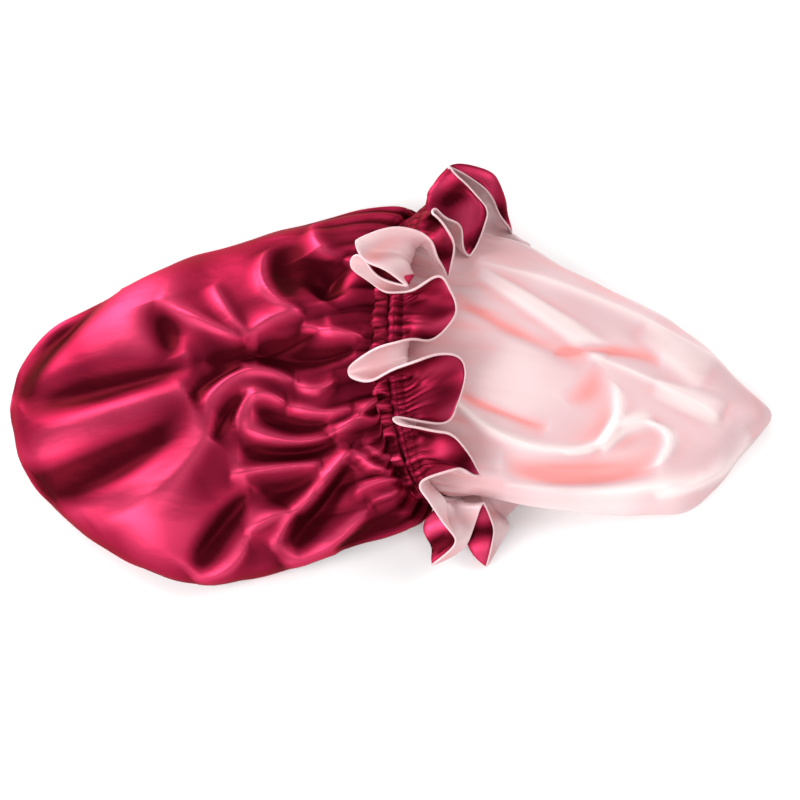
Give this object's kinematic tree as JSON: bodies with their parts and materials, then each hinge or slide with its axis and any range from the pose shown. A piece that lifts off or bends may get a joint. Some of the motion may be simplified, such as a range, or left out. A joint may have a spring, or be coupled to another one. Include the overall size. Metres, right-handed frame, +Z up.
{
  "type": "sleep bonnet",
  "caption": "Reversible satin sleep bonnet lying flat, wine crown on one side of the elastic and pink lining pulled out on the other, with a double frill between them.",
  "frame": {"origin": "on the resting plane, under the middle of the outline seen from above", "axes": "+X from the wine crown's closed end to the lining's closed end, +Y away from the viewer, +Z up"},
  "size_m": [0.493, 0.2778, 0.0879],
  "materials": {
    "wine_satin": "glossy satin, wine red",
    "pink_satin": "glossy satin, pale pink",
    "gathered_satin": "wine satin gathered over elastic"
  },
  "bodies": {
    "root": {"outer_crown": "wine_satin", "lining_crown": "pink_satin", "elastic_casing": "gathered_satin", "outer_frill": "wine_satin", "lining_frill": "pink_satin"}
  },
  "joints": []
}
